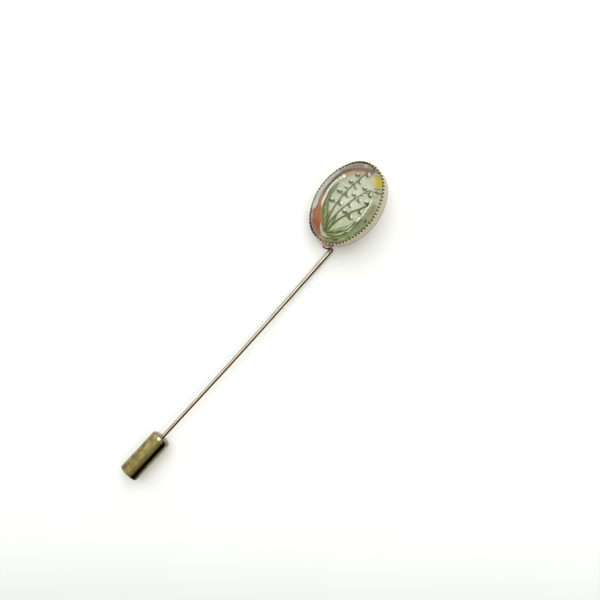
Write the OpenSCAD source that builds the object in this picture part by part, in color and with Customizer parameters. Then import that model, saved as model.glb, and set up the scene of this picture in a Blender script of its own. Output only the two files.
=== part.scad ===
/* [Stone] */
// Length of the oval glass stone, along the head
stone_length = 18; // [16:0.5:20]
// Width of the oval glass stone
stone_width = 13; // [12:0.25:14]
// Thickness of the stone's straight edge, below its dome
stone_edge = 2.7; // [2.4:0.1:3]
// Height of the dome above the straight edge
dome_height = 3.35; // [2.5:0.05:4]
// Depth of the hollow carved into the back of the stone
carving_depth = 0.4; // [0.38:0.02:0.6]
// Size of the carved hollow as a share of the stone's outline
carving_share = 0.9; // [0.86:0.01:0.94]

/* [Cup] */
// Thickness of the cup's wall
wall = 0.3; // [0.2:0.05:0.4]
// Thickness of the cup's floor
floor_thickness = 0.4; // [0.3:0.05:0.6]
// Height of the cup's wall, between the teeth of its milled edge
wall_height = 3.3; // [3:0.1:3.5]
// Rounding of the edge between the wall and the back
base_rounding = 0.35; // [0.2:0.05:0.35]
// Space between the stone and the wall
stone_gap = 0.03; // [0.02:0.01:0.06]
// Teeth of the milled edge, in each quarter of the oval
teeth_in_quarter = 17; // [13:1:19]
// How far a tooth stands out from the wall
tooth_proud = 0.16; // [0.05:0.01:0.2]
// Height of a tooth's straight sides above the wall
tooth_rise = 0.1; // [0.05:0.01:0.2]
// How far a tooth reaches down the wall from its top
tooth_drop = 0.45; // [0.3:0.05:0.8]

/* [Picture] */
// Thickness of the pale plate behind the stone
backing_thickness = 0.3; // [0.2:0.05:0.32]
// Radius of a flower stalk
stalk_radius = 0.1; // [0.08:0.01:0.14]
// Radius of the thin stalk of one bell
bell_stalk_radius = 0.07; // [0.05:0.01:0.09]
// Radius of a bell flower
bell_radius = 0.32; // [0.24:0.02:0.34]
// How far a bell hangs from its stalk
bell_reach = 0.8; // [0.6:0.05:0.95]
// Thickness of a leaf
leaf_thickness = 0.2; // [0.12:0.02:0.3]

/* [Pin] */
// Diameter of the wire
wire_diameter = 0.8; // [0.7:0.05:0.9]
// Distance from the bend below the head to the mouth of the clutch
stem_length = 52.9; // [50:0.1:56]
// Length of the point
point_length = 1.6; // [1:0.1:2.5]
// Diameter to which the wire tapers inside the clutch, where its point begins
tapered_diameter = 0.7; // [0.66:0.01:0.7]
// Distance from the end of the straight wire to the mouth of the clutch
taper_outside = 0.1; // [0.1:0.05:0.5]
// How much of the wire stands inside the clutch
pin_in_clutch = 8.6; // [7:0.1:9]
// Distance from the bend below the head to the middle of the stem's bow
bow_at = 30; // [24:1:32]
// Half the length of the stretch over which the stem bows
bow_half = 10; // [6:1:12]
// Depth to which the wire's foot is sunk into the back of the cup
foot_depth = 0.12; // [0.08:0.02:0.2]
// Height of the solder round the foot
solder_height = 0.15; // [0.1:0.05:0.25]

/* [Clutch] */
// Diameter of the clutch
clutch_diameter = 4.3; // [3.9:0.05:4.5]
// Length of the clutch
clutch_length = 10.45; // [10:0.05:12]
// Wall of the clutch
clutch_wall = 0.3; // [0.25:0.05:0.4]
// Rounding of the clutch's shoulder, at its mouth
shoulder = 0.8; // [0.6:0.05:1.1]
// Bevel round the cut end of the clutch
end_bevel = 0.12; // [0.08:0.01:0.2]
// Space between the wire and the edge of the clutch's mouth
mouth_gap = 0.1; // [0.08:0.01:0.2]
// Space between the wire and the bore of the grip
grip_gap = 0.02; // [0.02:0.01:0.05]
// Length of the grip inside the clutch
grip_length = 7.5; // [6:0.1:7.6]

/* [Pose of the head] */
// How far the head is rolled on to its left edge
roll = 22.7; // [20:0.1:25]
// How far the top of the head is raised
raise = 6.7; // [5:0.1:8]
// How far the head is turned from the clutch's axis
turn = 2.6; // [0:0.1:4]

/* [Hidden] */
$fn = 48;

gap = 0.02;
half_length = stone_length / 2;
half_width = stone_width / 2;
wire_r = wire_diameter / 2;
tapered_r = tapered_diameter / 2;
clutch_r = clutch_diameter / 2;

// The oval is four arcs: its ends turn about (0, +-end_y) and its sides about (-+side_x, 0).
// The two centres and the oval's middle make a triangle with sides of 3, 4 and 5 steps.
step = (half_length - half_width) / 2;
end_y = 3 * step;
side_x = 4 * step;
end_radius = half_width - step;
side_radius = end_radius + 5 * step;
// Direction, seen from a side's centre, in which the side passes into the end
split = atan2(3, 4);

// Heights above the back of the cup
backing_low = floor_thickness + gap;
backing_high = backing_low + backing_thickness;
stone_low = backing_high + gap;
girdle = stone_low + stone_edge;

// Distances outwards from the stone's outline
cup_inner = stone_gap;
cup_outer = stone_gap + wall;
tooth_r = (cup_outer + tooth_proud - cup_inner - gap) / 2;
tooth_out = cup_outer + tooth_proud - tooth_r;
tooth_middle = wall_height + tooth_rise;
tooth_bevel = 0.8 * tooth_r;
tooth_tip_r = 0.6 * tooth_r;

// Point of the oval where its outward direction is t, with the outline grown by grow
function oval_at(t, grow = 0) =
    let (c = abs(cos(t)), s = abs(sin(t)), on_side = atan2(s, c) < split)
    let (x = on_side ? (side_radius + grow) * c - side_x : (end_radius + grow) * c)
    let (y = on_side ? (side_radius + grow) * s : (end_radius + grow) * s + end_y)
    [sign(cos(t)) * x, sign(sin(t)) * y];

// Reach of the oval in a direction given in its own plane, times that direction's length
function oval_reach(d, grow) = let (p = oval_at(atan2(d.y, d.x), grow)) p.x * d.x + p.y * d.y;

function turned_x(p, a) = [p.x, p.y * cos(a) - p.z * sin(a), p.y * sin(a) + p.z * cos(a)];
function turned_y(p, a) = [p.x * cos(a) + p.z * sin(a), p.y, p.z * cos(a) - p.x * sin(a)];
function turned_z(p, a) = [p.x * cos(a) - p.y * sin(a), p.x * sin(a) + p.y * cos(a), p.z];

// Direction in the room of a direction in the head, and the other way round
function from_head(p) = turned_z(turned_y(turned_x(p, raise), -roll), turn);
function to_head(p) = turned_x(turned_y(turned_z(p, -turn), roll), -raise);

// Reach of the head from the middle of its back in a direction of the room
function base_reach(d) =
    let (e = to_head(d)) oval_reach(e, cup_outer - base_rounding) + e.z * base_rounding + base_rounding;
function teeth_reach(d) =
    let (e = to_head(d), flat = norm([e.x, e.y]))
    oval_reach(e, tooth_out) + e.z * tooth_middle + max(tooth_r * flat, tooth_tip_r * flat + tooth_bevel * e.z);
function head_reach(d) = max(base_reach(d), teeth_reach(d));

// Middle of the head's back, measured from the bend: its left edge rests on the ground
head_at = [-3.1, 8.95, base_reach([0, 0, -1])];
function room(p) = head_at + from_head(p);

// The clutch lies on the ground beside the line of the bend
clutch_at = [0.55, -stem_length, clutch_r];
clutch_end = stem_length + clutch_length;

// Middle of the whole pin, seen from above
low_x = head_at.x - head_reach([-1, 0, 0]);
high_x = max(head_at.x + head_reach([1, 0, 0]), clutch_at.x + clutch_r);
high_y = head_at.y + head_reach([0, 1, 0]);
middle = [(low_x + high_x) / 2, (high_y - clutch_end) / 2];

function unit(v) = v / norm(v);

// Route of the wire: along the back of the cup, out below its lower end, round to the bend and down the stem
foot_z = foot_depth - wire_r;
route = [
    room([-0.15, 1.5, foot_z]),
    room([-0.15, -8.1, foot_z]),
    [-2.4, -1.4, 1.15],
    [-0.05, 0.15, wire_r - 0.035],
    [clutch_at.x, -bow_at, clutch_at.z],
    [clutch_at.x, -stem_length - pin_in_clutch + point_length, clutch_at.z]
];
bow_turn = acos((route[4] - route[3]) * [0, -1, 0] / norm(route[4] - route[3]));
// Radius of the wire's middle line at each turn of the route
route_radius = [0, 1.6, 0.8, 0.45, bow_half / tan(bow_turn / 2), 0];

// Lays what follows with its x and y along two square directions
module framed(at, x_to, y_to) {
    z_to = cross(x_to, y_to);
    multmatrix([
        [x_to.x, y_to.x, z_to.x, at.x],
        [x_to.y, y_to.y, z_to.y, at.y],
        [x_to.z, y_to.z, z_to.z, at.z],
        [0, 0, 0, 1]
    ]) children();
}

// Straight round rod between two points
module rod(from, to, r) {
    along = unit(to - from);
    side = unit(cross(along, abs(along.z) < 0.9 ? [0, 0, 1] : [1, 0, 0]));
    framed(from, side, cross(along, side)) cylinder(r = r, h = norm(to - from));
}

// Stages of one turn of the route, each with its place and the wire's direction there
function turn_stages(i, steps) =
    let (a = unit(route[i] - route[i - 1]), b = unit(route[i + 1] - route[i]), r = route_radius[i])
    let (angle = acos(a * b), centre = route[i] + unit(b - a) * r / cos(angle / 2))
    let (first = unit(route[i] - a * r * tan(angle / 2) - centre))
    [for (k = [0 : steps]) let (t = angle * k / steps)
        [centre + r * (first * cos(t) + a * sin(t)), a * cos(t) - first * sin(t)]];

// Wire from its foot under the cup to the end of its bow, a little thinner than the straight rest
module bent_wire() {
    sides = 16;
    overlap = 0.6;
    r = wire_r - 0.002;
    bow = turn_stages(4, 6);
    bow_end = bow[len(bow) - 1];
    stages = concat(
        [[route[0], unit(route[1] - route[0])]],
        turn_stages(1, 6), turn_stages(2, 6), turn_stages(3, 12), bow,
        [[bow_end[0] + overlap * bow_end[1], bow_end[1]]]
    );
    last = len(stages) - 1;
    points = [for (stage = stages, j = [0 : sides - 1])
        let (side = unit(cross(stage[1], [0, 0, 1])), up = cross(side, stage[1]), t = 360 * j / sides)
        stage[0] + r * (side * cos(t) + up * sin(t))];
    faces = concat(
        [[for (j = [sides - 1 : -1 : 0]) j]],
        [for (k = [0 : last - 1], j = [0 : sides - 1])
            let (a = k * sides + j, b = k * sides + (j + 1) % sides) [a, b, b + sides, a + sides]],
        [[for (j = [0 : sides - 1]) last * sides + j]]
    );
    polyhedron(points, faces);
}

// Sector seen from a point, between two directions
module sector(at, from, to) {
    far = 20;
    linear_extrude(2 * far, center = true) polygon([at, at + far * from, at + far * (from + to), at + far * to]);
}

// Sweeps a cross-section round the oval, with its x measured outwards from the stone's outline
module around_oval() {
    for (m = [0, 1]) {
        mirror([m, 0, 0]) intersection() {
            translate([-side_x, 0, 0]) rotate_extrude() translate([side_radius, 0]) children();
            sector([-side_x, 0], [0.8, 0.6], [0.8, -0.6]);
        }
        mirror([0, m, 0]) intersection() {
            translate([0, end_y, 0]) rotate_extrude() translate([end_radius, 0]) children();
            sector([0, end_y], [0.8, 0.6], [-0.8, 0.6]);
        }
    }
}

module placed() {
    translate([-middle.x, -middle.y, 0]) children();
}

module on_head() {
    placed() translate(head_at) rotate([raise, -roll, turn]) children();
}

// How far inwards from the stone's outline the swept part of the floor goes
floor_inset = 2.5;

// Cross-section of the cup's wall and the outer part of its floor, with a rounded outer edge
module cup_section() {
    polygon(concat(
        [[-floor_inset, floor_thickness], [-floor_inset, 0]],
        [for (a = [-90 : 15 : 0]) [cup_outer, 0] + base_rounding * [cos(a) - 1, sin(a) + 1]],
        [[cup_outer, wall_height], [cup_inner, wall_height], [cup_inner, floor_thickness]]
    ));
}

// Flat plate that fills the middle of a swept border
module oval_middle(h) {
    linear_extrude(h) polygon([for (t = [15 : 30 : 345]) oval_at(t, -floor_inset / 2)]);
}

// Direction of the oval at a distance along its outline from the side's middle
side_run = (side_radius + tooth_out) * split * PI / 180;
end_run = (end_radius + tooth_out) * (90 - split) * PI / 180;
function direction_at(run) =
    run < side_run
        ? run / (side_radius + tooth_out) * 180 / PI
        : split + (run - side_run) / (end_radius + tooth_out) * 180 / PI;

// Round tooth with a bevelled top, turned as one piece
module tooth() {
    translate([0, 0, tooth_middle]) rotate_extrude($fn = 24)
        polygon([[0, -tooth_drop], [tooth_r, -tooth_drop], [tooth_r, 0], [tooth_tip_r, tooth_bevel], [0, tooth_bevel]]);
}

module milled_edge() {
    pitch = (side_run + end_run) / teeth_in_quarter;
    for (mx = [0, 1], my = [0, 1], i = [0 : teeth_in_quarter - 1])
        mirror([mx, 0, 0]) mirror([0, my, 0])
            translate(oval_at(direction_at((i + 0.5) * pitch), tooth_out)) tooth();
}

module setting_and_stem() {
    solder_r = 1.3;
    straight = stem_length - taper_outside - bow_at - bow_half;
    tapered = straight + taper_outside + pin_in_clutch - point_length;
    color("burlywood") {
        on_head() {
            around_oval() cup_section();
            oval_middle(floor_thickness);
            milled_edge();
            translate([0, 0, -solder_height]) cylinder(r = solder_r, h = solder_height + floor_thickness / 2);
        }
        placed() {
            bent_wire();
            translate([clutch_at.x, -bow_at - bow_half, clutch_at.z]) rotate([90, 0, 0]) rotate_extrude()
                polygon([[0, 0], [wire_r, 0], [wire_r, straight], [tapered_r, tapered],
                    [wire_r / 8, tapered + point_length], [0, tapered + point_length]]);
        }
    }
}

module backing() {
    color("honeydew") on_head() translate([0, 0, backing_low]) {
        around_oval() translate([-floor_inset, 0]) square([floor_inset - gap, backing_thickness]);
        oval_middle(backing_thickness);
    }
}

// Circle through two points, with the arc between them standing sag to the left of the way from p to q
function arc_r(p, q, sag) = (pow(norm(q - p), 2) / 4 + pow(sag, 2)) / (2 * abs(sag));
function arc_centre(p, q, sag) =
    let (d = unit(q - p)) (p + q) / 2 + [-d.y, d.x] * (sag - sign(sag) * arc_r(p, q, sag));
function arc_point(p, q, sag, share) =
    let (c = arc_centre(p, q, sag), r = arc_r(p, q, sag))
    let (half = asin(norm(q - p) / 2 / r), start = atan2(p.y - c.y, p.x - c.x))
    c + r * [cos(start - sign(sag) * 2 * half * share), sin(start - sign(sag) * 2 * half * share)];

// Curved stalk that lies on the plane
module stalk(p, q, sag) {
    c = arc_centre(p, q, sag);
    r = arc_r(p, q, sag);
    first = sag > 0 ? q : p;
    translate([c.x, c.y, stalk_radius]) rotate([0, 0, atan2(first.y - c.y, first.x - c.x)])
        rotate_extrude(angle = 2 * asin(norm(q - p) / 2 / r), $fn = 96) translate([r, 0]) circle(r = stalk_radius);
}

// Leaf between two arcs that share their ends and stand to the same side
module leaf(p, q, sag_out, sag_in) {
    linear_extrude(leaf_thickness) difference() {
        translate(arc_centre(p, q, sag_out)) circle(r = arc_r(p, q, sag_out), $fn = 96);
        translate(arc_centre(p, q, sag_in)) circle(r = arc_r(p, q, sag_in), $fn = 180);
    }
}

module bell(at) {
    translate(at) rotate_extrude() intersection() {
        circle(r = bell_radius);
        square(bell_radius);
    }
}

// Flower stalks: start, end, sag to the left, share of the length at the first bell, number of bells
stalks = [
    [[-0.7, -6.5], [-0.8, 6.1], 1.2, 0.42, 10],
    [[-0.6, -6.5], [1.7, 4.9], 0.9, 0.42, 8],
    [[-0.4, -6.4], [3.0, 2.6], 0.7, 0.45, 7]
];
// Leaves: start, end, sag of the outer edge, sag of the inner edge
leaves = [
    [[-0.7, -6.9], [-3.9, 2.3], 1.75, 0.8],
    [[-0.8, -6.6], [-2.9, -0.9], 0.75, 0.15],
    [[-0.5, -6.8], [2.8, -1.5], -1.1, -0.35],
    [[-0.4, -7.0], [3.6, -0.6], -2.05, -1.2]
];

// Bells hang from a stalk to its left and right in turn
module flower_stalk(row) {
    lean = 35;
    stalk(row[0], row[1], row[2]);
    for (i = [0 : row[4] - 1]) {
        share = row[3] + (1 - row[3]) * i / (row[4] - 1);
        root = arc_point(row[0], row[1], row[2], share);
        ahead = unit(arc_point(row[0], row[1], row[2], share + 0.02) - root);
        heading = atan2(ahead.y, ahead.x) + (i % 2 == 0 ? 90 - lean : lean - 90);
        tip = root + bell_reach * [cos(heading), sin(heading)] * (i == row[4] - 1 ? 0.5 : 1);
        rod([root.x, root.y, stalk_radius], [tip.x, tip.y, stalk_radius], bell_stalk_radius);
        bell(tip);
    }
}

module painted_sprig() {
    knot_r = 0.5;
    color("darkseagreen") on_head() translate([0, 0, backing_high + gap]) {
        for (row = stalks) flower_stalk(row);
        for (row = leaves) leaf(row[0], row[1], row[2], row[3]);
        translate([-0.6, -6.6]) cylinder(r = knot_r, h = leaf_thickness);
    }
}

// Stone: rings of the oval from the roof of the carved hollow round the edge and up the dome
module cabochon() {
    around = 72;
    up = 14;
    rings = concat(
        [[carving_share, stone_low + carving_depth], [carving_share, stone_low], [1, stone_low]],
        [for (k = [0 : up - 1]) [cos(90 * k / up), girdle + dome_height * sin(90 * k / up)]]
    );
    points = concat(
        [for (ring = rings, j = [0 : around - 1])
            let (p = oval_at((j + 0.5) * 360 / around)) [p.x * ring[0], p.y * ring[0], ring[1]]],
        [[0, 0, stone_low + carving_depth], [0, 0, girdle + dome_height]]
    );
    roof = len(rings) * around;
    crown = roof + 1;
    last = (len(rings) - 1) * around;
    faces = concat(
        [for (j = [0 : around - 1]) [roof, j, (j + 1) % around]],
        [for (k = [0 : len(rings) - 2], j = [0 : around - 1])
            let (a = k * around + j, b = k * around + (j + 1) % around) [a, a + around, b + around, b]],
        [for (j = [0 : around - 1]) [crown, last + (j + 1) % around, last + j]]
    );
    color("lightcyan", 0.5) on_head() polyhedron(points, faces);
}

// Outline of the clutch from its axis, with y along it from the mouth
module barrel_outline(grow, from, to, bevel) {
    r = clutch_r + grow;
    round_r = shoulder + grow;
    translate([0, from]) square([clutch_r - shoulder, to - from]);
    translate([0, shoulder]) square([r, to - shoulder - bevel]);
    translate([clutch_r - shoulder, shoulder]) circle(r = round_r);
    if (bevel > 0)
        polygon([[0, to - bevel], [r, to - bevel], [r - bevel, to], [0, to]]);
}

module on_clutch() {
    placed() translate(clutch_at) rotate([90, 0, 0]) children();
}

module clutch_barrel() {
    color("darkkhaki") on_clutch() difference() {
        rotate_extrude() barrel_outline(0, 0, clutch_length, end_bevel);
        rotate_extrude() barrel_outline(-clutch_wall, clutch_wall, clutch_length - clutch_wall, 0);
        translate([0, 0, -gap]) cylinder(r = wire_r + mouth_gap, h = clutch_wall + 2 * gap);
    }
}

module clutch_grip() {
    grip_r = clutch_r - clutch_wall - gap;
    grip_low = clutch_length - clutch_wall - gap - grip_length;
    bore = grip_length - 0.3;
    color("goldenrod") on_clutch() translate([0, 0, grip_low]) difference() {
        cylinder(r = grip_r, h = grip_length);
        translate([0, 0, -gap]) cylinder(r = wire_r + grip_gap, h = bore + gap);
    }
}

setting_and_stem();
backing();
painted_sprig();
cabochon();
clutch_barrel();
clutch_grip();
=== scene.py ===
# %% [markdown]
# # A stick pin with a picture under glass
#
# The pin is a domed oval of glass with a flower spray behind it, held in a brass cup with a milled edge. A bent wire
# carries it, and a barrel clutch guards the point. The solid model is loaded first and stays as it is. Every piece
# below is laid where that model has it, so nothing has to be placed by eye.

import math

import bmesh
import bpy
from mathutils import Euler, Matrix, Vector


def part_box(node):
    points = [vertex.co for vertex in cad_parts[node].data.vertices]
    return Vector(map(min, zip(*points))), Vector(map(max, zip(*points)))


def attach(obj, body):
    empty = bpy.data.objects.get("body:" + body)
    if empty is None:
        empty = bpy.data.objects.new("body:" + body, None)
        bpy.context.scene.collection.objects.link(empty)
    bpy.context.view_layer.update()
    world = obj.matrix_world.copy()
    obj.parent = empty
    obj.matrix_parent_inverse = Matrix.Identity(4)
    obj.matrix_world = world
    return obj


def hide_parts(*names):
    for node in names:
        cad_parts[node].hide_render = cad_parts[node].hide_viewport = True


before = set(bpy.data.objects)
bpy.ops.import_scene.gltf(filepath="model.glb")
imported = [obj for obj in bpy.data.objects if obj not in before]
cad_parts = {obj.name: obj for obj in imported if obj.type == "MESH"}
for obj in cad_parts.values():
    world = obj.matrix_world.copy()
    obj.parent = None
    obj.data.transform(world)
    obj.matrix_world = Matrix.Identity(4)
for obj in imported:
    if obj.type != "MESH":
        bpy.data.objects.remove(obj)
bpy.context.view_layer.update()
print("solid model:", sorted(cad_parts))

# %% [markdown]
# ## Sizes and places
#
# A jeweller thinks in millimetres, so each piece is drawn in millimetres and scaled once, when it is laid in place.
# Places are counted from the bend of the wire near the head, and the clutch of the solid model says where that is.
# The head has its own frame, with the back of the cup as its ground. It lies rolled on to its left edge, because the
# clutch and the bend of the wire hold the rest of it up.

# %% Where the head and the stem lie
MM = 0.001
STEM_LENGTH = 52.9
CLUTCH_LENGTH = 10.45
CLUTCH_R = 2.15
BEND_TO_CLUTCH = 0.55
BEND_TO_HEAD = Vector((-3.1, 8.95, 2.699))
HEAD_DEGREES = (6.7, -22.7, 2.6)

clutch_low, clutch_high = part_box("clutch_barrel")
bend_at = Vector((
    (clutch_low.x + clutch_high.x) / 2 / MM - BEND_TO_CLUTCH,
    clutch_low.y / MM + STEM_LENGTH + CLUTCH_LENGTH,
    0.0,
))
head_at = bend_at + BEND_TO_HEAD
HEAD_TURN = Euler([math.radians(a) for a in HEAD_DEGREES])
IN_ROOM = Matrix.LocRotScale(bend_at * MM, None, (MM, MM, MM))
ON_HEAD = Matrix.LocRotScale(head_at * MM, HEAD_TURN, (MM, MM, MM))
print("bend of the wire at", [round(v, 3) for v in bend_at], "mm")
print("middle of the head at", [round(v, 3) for v in head_at], "mm")

# %% [markdown]
# ## Camera
#
# The picture is taken from straight above, from about 22 cm. The camera's roll turns the stem to run from the lower
# left to the head at the upper right. A lens of 63 mm on a sensor of 36 mm gives the picture's angle of view.

# %% Camera
BEND_TO_CAMERA = Vector((2.19, -12.56, 220))
CAMERA_ROLL = math.radians(42.8)
LENS = 62.76

bpy.ops.object.camera_add(location=(bend_at + BEND_TO_CAMERA) * MM, rotation=(0, 0, CAMERA_ROLL))
camera = bpy.context.object
camera.data.lens = LENS
camera.data.clip_start = 0.01
bpy.context.scene.camera = camera
bpy.context.scene.view_settings.view_transform = "Standard"
print("camera at", [round(v, 4) for v in camera.location])

# %% [markdown]
# ## Shader maths
#
# A procedural material is a network of small nodes. Written out link by link it is hard to read, so one class wraps
# the output of a node. Adding or multiplying two of them adds the Math node that does it, and any other node comes
# from the one method `node`. The masks that the finishes need, such as a soft step or a soft band, are built on it.


# %% A wrapped socket
class Sock:
    """The output of a node. Arithmetic on it adds Math nodes to the same tree."""

    def __init__(self, tree, socket):
        self.tree = tree
        self.socket = socket

    def node(self, kind, settings=None, sockets=None, out=0):
        """Any node, with its settings and the values or links of its sockets. out picks the output."""
        new = self.tree.nodes.new(kind)
        for name, value in (settings or {}).items():
            setattr(new, name, value)
        for name, value in (sockets or {}).items():
            if isinstance(value, Sock):
                self.tree.links.new(value.socket, new.inputs[name])
            else:
                new.inputs[name].default_value = value
        return Sock(self.tree, new.outputs[out])

    def maths(self, operation, *values):
        """A Math node that works on these values."""
        return self.node("ShaderNodeMath", {"operation": operation}, dict(enumerate(values)))

    def __add__(self, other):
        return self.maths("ADD", self, other)

    def __sub__(self, other):
        return self.maths("SUBTRACT", self, other)

    def __rsub__(self, other):
        return self.maths("SUBTRACT", other, self)

    def __mul__(self, other):
        return self.maths("MULTIPLY", self, other)

    def __truediv__(self, other):
        return self.maths("DIVIDE", self, other)

    def __pow__(self, other):
        return self.maths("POWER", self, other)

    def __or__(self, other):
        """The larger of the two."""
        return self.maths("MAXIMUM", self, other)

    __radd__ = __add__
    __rmul__ = __mul__

    def rise(self, low, high):
        """0 below low, 1 above high, and a smooth step between them. With high first, the step falls."""
        settings = {"interpolation_type": "SMOOTHSTEP"}
        return self.node("ShaderNodeMapRange", settings, {"Value": self, "From Min": low, "From Max": high})

    def band(self, low, high, soft):
        """1 between low and high, 0 outside, with soft edges."""
        return self.rise(low - soft, low + soft) - self.rise(high - soft, high + soft)

    def near(self, point, reach):
        """1 at a point, fading to 0 at the reach, both in the units of the coordinates."""
        away = self.node("ShaderNodeVectorMath", {"operation": "DISTANCE"}, {0: self, 1: point}, out=1)
        return 1 - away.rise(0.5 * reach, reach)

    def part(self, name):
        """X, Y or Z of a vector."""
        return self.node("ShaderNodeSeparateXYZ", None, {0: self}, out=name)

    def mark(self, name):
        """A number that was stored on the piece itself while it was modelled."""
        return self.node("ShaderNodeAttribute", {"attribute_name": name}, out="Fac")

    def mottle(self, size, detail=3, roughness=0.5):
        """Cloudy noise from 0 to 1, with features about `size` metres across."""
        sockets = {"Vector": self, "Scale": 1 / size, "Detail": detail, "Roughness": roughness}
        return self.node("ShaderNodeTexNoise", None, sockets)

    def blend(self, first, second):
        """The first colour where this mask is 0, the second where it is 1."""
        def colour(c):
            return c if isinstance(c, Sock) else (*c, 1)
        sockets = {0: self, 6: colour(first), 7: colour(second)}
        return self.node("ShaderNodeMix", {"data_type": "RGBA"}, sockets, out=2)

    def bump(self, height, strength=1.0):
        """Normal of a surface raised by this height field, in metres."""
        return self.node("ShaderNodeBump", None, {"Height": self, "Distance": height, "Strength": strength})


def linear(r, g, b):
    """A colour read off a picture, 0 to 255, as the linear colour that shaders use."""
    return tuple((v / 255 / 12.92) if v <= 10 else ((v / 255 + 0.055) / 1.055) ** 2.4 for v in (r, g, b))


def finish(name, paint, **even):
    """A material. `even` holds the values that are the same all over, `paint` makes those that change."""
    made = bpy.data.materials.new(name)
    made.use_nodes = True
    tree = made.node_tree
    shader = tree.nodes["Principled BSDF"]
    for socket, value in even.items():
        shader.inputs[socket.replace("_", " ")].default_value = value
    place = Sock(tree, tree.nodes.new("ShaderNodeTexCoord").outputs["Object"])
    for socket, value in paint(place).items():
        tree.links.new(value.socket, shader.inputs[socket])
    return made


print("shader maths is ready")

# %% [markdown]
# ## Light and floor
#
# Polished metal shows what stands round it, so the light is made first, as a plain soft studio. A wide window shines
# from the top of the picture. Towards the lower right the room is dim and brown, and low on that side it is dark,
# which deepens the black stripe along the clutch. Soft steps on the direction of view round the sky draw all three.
# A long lamp, high on the right, draws the streak on the glass. The floor is one wide disc, pale and almost even.

# %% A soft window and a dark side
WINDOW_TOWARDS = (-0.62, 0.42, 0.66)

world = bpy.data.worlds.new("studio")
bpy.context.scene.world = world
world.use_nodes = True
sky = Sock(world.node_tree, world.node_tree.nodes.new("ShaderNodeTexCoord").outputs["Generated"])
sideways, onwards, height = sky.part("X"), sky.part("Y"), sky.part("Z")
window = sky.node("ShaderNodeVectorMath", {"operation": "DOT_PRODUCT"}, {0: sky, 1: WINDOW_TOWARDS}, out=1)
dim_side = sideways.rise(-0.05, 0.3)
dark_side = sideways.rise(0.45, 0.6) * (1 - height.rise(0.62, 0.7)) * height.rise(-0.2, -0.1)
room = onwards.rise(-0.5, 0.55).blend((0.32, 0.33, 0.3), (1.24, 1.26, 1.22))
room = dim_side.blend(room, (0.54, 0.49, 0.4))
room = window.rise(0.54, 0.82).blend(room, (2.3, 2.31, 2.28))
backdrop = world.node_tree.nodes["Background"]
world.node_tree.links.new(dark_side.blend(room, (0.012, 0.012, 0.01)).socket, backdrop.inputs["Color"])
backdrop.inputs["Strength"].default_value = 1.0
window_height = math.asin(WINDOW_TOWARDS[2] / Vector(WINDOW_TOWARDS).length)
print("the window stands", round(math.degrees(window_height)), "degrees high")


# %% The long lamp
def lamp(name, at, wide, long, strength):
    """A flat lamp in millimetres that faces the middle of the pin, with its long side across the room."""
    away = Vector(at).normalized()
    along = (Vector((0, 1, 0)) - away * away.y).normalized()
    bpy.ops.object.light_add(type="AREA", location=Vector(at) * MM)
    made = bpy.context.object
    made.name = name
    made.rotation_euler = Matrix((along.cross(away), along, away)).transposed().to_euler()
    made.data.shape = "RECTANGLE"
    made.data.size = wide * MM
    made.data.size_y = long * MM
    made.data.energy = strength * math.pi * wide * long * MM * MM
    print(name, "of", wide, "by", long, "mm at", at, "mm")


lamp("long_lamp", (255, 80, 480), 50, 430, 10.3)


# %% Floor
FLOOR_R = 4


def table_white(place):
    """White, with painted shade that makes it a little darker towards the lower edge of the picture."""
    down = place.part("X") * 0.68 - place.part("Y") * 0.73
    even = place.mottle(0.05).blend((0.91, 0.93, 0.92), (0.93, 0.94, 0.93))
    # painted shade: the floor is darkened towards the lower edge, where the light falls off
    return {"Base Color": down.rise(0.02, 0.075).blend(even, (0.66, 0.68, 0.67))}


bpy.ops.mesh.primitive_circle_add(vertices=96, radius=FLOOR_R, fill_type="NGON", location=(0, 0, 0))
floor = bpy.context.object
floor.name = "floor"
floor.data.materials.append(finish("white_table", table_white, Roughness=0.6, Specular_IOR_Level=0.2))
print("floor of", floor.dimensions.x, "m across")

# %% [markdown]
# ## How the pieces are modelled
#
# Every piece starts from a primitive and is shaped in edit mode, as by hand. These helpers do what a hand does
# between two commands: begin a piece with nothing else selected, pick some of its faces or edges by their place, and
# lay the finished piece in the room with its place stored in its mesh.


# %% Begin and pick
def begin(name, kind, **options):
    """Adds a primitive with nothing else selected, and opens it in edit mode."""
    bpy.ops.object.select_all(action="DESELECT")
    getattr(bpy.ops.mesh, f"primitive_{kind}_add")(**options)
    piece = bpy.context.object
    piece.name = piece.data.name = name
    bpy.ops.object.transform_apply(location=True, rotation=True, scale=True)
    bpy.ops.object.mode_set(mode="EDIT")
    bpy.ops.mesh.select_mode(type="VERT")
    bpy.ops.mesh.select_all(action="SELECT")
    return piece


def pick(piece, kind, test):
    """Selects the vertices, edges or faces whose middle passes the test."""
    bpy.ops.mesh.select_mode(type=kind)
    bpy.ops.mesh.select_all(action="DESELECT")
    shape = bmesh.from_edit_mesh(piece.data)
    for part in {"VERT": shape.verts, "EDGE": shape.edges, "FACE": shape.faces}[kind]:
        corners = [part] if kind == "VERT" else part.verts
        middle = sum((v.co for v in corners), Vector()) / len(corners)
        if test(middle, part):
            part.select_set(True)
    shape.select_flush_mode()
    bmesh.update_edit_mesh(piece.data)


def extrude(x=0.0, y=0.0, z=0.0):
    """Extrudes what is selected, and moves the new part. With no move it lies in place, to be widened."""
    bpy.ops.mesh.extrude_region_move(TRANSFORM_OT_translate={"value": (x, y, z)})


def widen(x, y, z, centre=(0, 0, 0)):
    """Scales what is selected about a point."""
    bpy.ops.transform.resize(value=(x, y, z), center_override=centre)


print("a piece can be begun and shaped")


# %% Settle, join and copy
def choose(*pieces):
    """Selects these pieces and nothing else, and makes the first one active."""
    bpy.ops.object.select_all(action="DESELECT")
    for piece in pieces:
        piece.select_set(True)
    bpy.context.view_layer.objects.active = pieces[0]


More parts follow.
